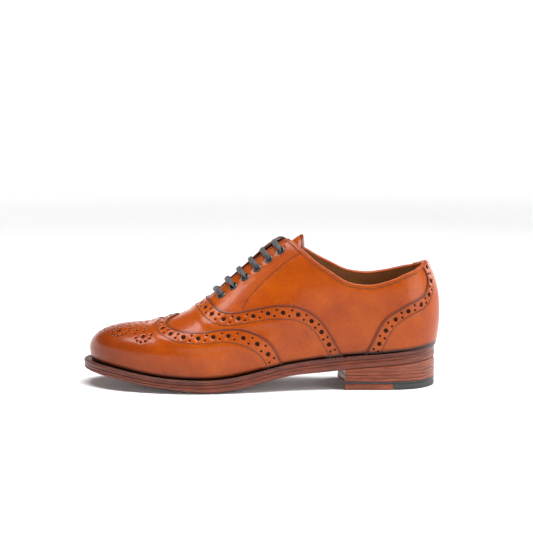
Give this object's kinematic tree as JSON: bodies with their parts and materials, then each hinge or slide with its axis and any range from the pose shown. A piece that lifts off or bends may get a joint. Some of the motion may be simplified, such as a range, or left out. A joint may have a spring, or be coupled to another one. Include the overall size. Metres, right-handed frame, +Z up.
{
  "type": "leather oxford shoe",
  "caption": "Left full-brogue wing tip oxford shoe in tan leather, laced closed, on a welted leather sole with a stacked heel.",
  "frame": {"origin": "bottom centre of the shoe's bounding box, on the floor", "axes": "+Z up, -X towards the toe, +X towards the heel, -Y towards the outer side of the left foot"},
  "size_m": [0.3071, 0.1082, 0.129],
  "materials": {
    "upper_leather": "polished",
    "lining_leather": "smooth",
    "backer_leather": "plain",
    "welt_leather": "burnished",
    "sole_leather": "burnished edge, natural tread",
    "heel_leather": "stacked and burnished",
    "heel_rubber": "matt",
    "cork": "granular",
    "shank_steel": "plain",
    "nail_brass": "plain",
    "eyelet_enamel": "satin black",
    "lace_cotton": "waxed cotton",
    "lace_tip_metal": "dark"
  },
  "bodies": {
    "shoe": {"toe_cap": "upper_leather", "vamp": "upper_leather", "quarter_lateral": "upper_leather", "quarter_medial": "upper_leather", "counter_cover": "upper_leather", "topline_binding_lateral": "upper_leather", "topline_binding_medial": "upper_leather", "vamp_lining": "lining_leather", "quarter_lining_lateral": "lining_leather", "quarter_lining_medial": "lining_leather", "toe_puff": "backer_leather", "heel_stiffener": "backer_leather", "facing_stay_lateral": "backer_leather", "facing_stay_medial": "backer_leather", "eyelets_lateral": "eyelet_enamel", "eyelets_medial": "eyelet_enamel", "lace": "lace_cotton", "lace_tips": "lace_tip_metal", "insole": "backer_leather", "sock_liner": "lining_leather", "insole_rib": "backer_leather", "cork_filler": "cork", "waist_filler": "backer_leather", "shank": "shank_steel", "welt": "welt_leather", "heel_rand": "welt_leather", "midsole": "sole_leather", "outsole": "sole_leather", "heel_wedge": "heel_leather", "heel_lift_1": "heel_leather", "heel_lift_2": "heel_leather", "heel_lift_3": "heel_leather", "top_piece_leather": "heel_leather", "top_piece_rubber": "heel_rubber", "heel_nails": "nail_brass"},
    "tongue": {"tongue": "upper_leather", "tongue_lining": "lining_leather"}
  },
  "joints": [
    {"name": "tongue_fold", "type": "hinge", "parent": "shoe", "child": "tongue", "pos_m": [-0.05, 0.004, 0.0645], "axis": [0, 1, 0], "range_deg": [0, 15]}
  ]
}
